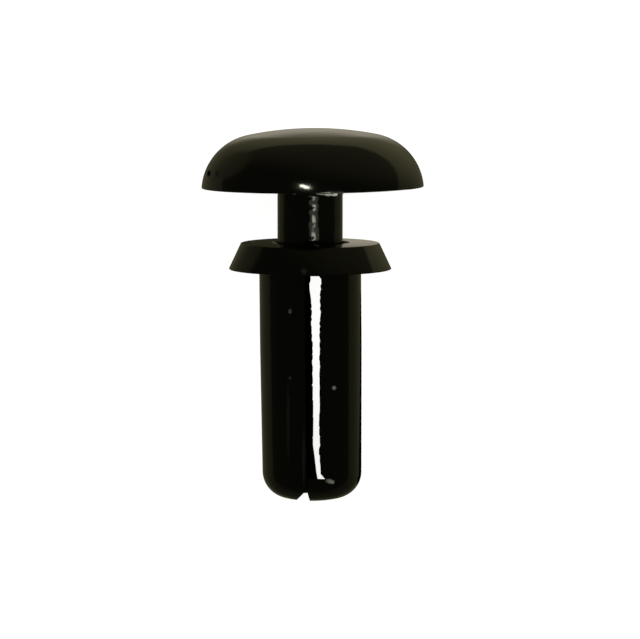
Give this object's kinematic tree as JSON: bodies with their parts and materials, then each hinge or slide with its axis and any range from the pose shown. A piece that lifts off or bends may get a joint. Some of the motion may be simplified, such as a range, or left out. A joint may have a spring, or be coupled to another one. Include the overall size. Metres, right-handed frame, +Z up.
{
  "type": "push rivet",
  "caption": "Plastic push rivet with a wide domed pin standing in a conical collar, and a split round-ended shank that the pin spreads behind a panel.",
  "frame": {"origin": "centre of the collar's flat seat, on the rivet's axis", "axes": "the rivet lies on its side on its head's rim and its tip, so its axis leans up from +X by 11.9 degrees towards the domed head; +Z is up, and the slot between the legs faces up and down"},
  "size_m": [0.0143, 0.0084, 0.0083],
  "materials": {
    "black_nylon": "gloss, as moulded"
  },
  "bodies": {
    "grommet": {"grommet": "black_nylon"},
    "pin": {"pin": "black_nylon"}
  },
  "joints": [
    {"name": "pin_push", "type": "slide", "parent": "grommet", "child": "pin", "axis": [-0.9786, 0, -0.206], "range_m": [0, 0.00208]}
  ]
}
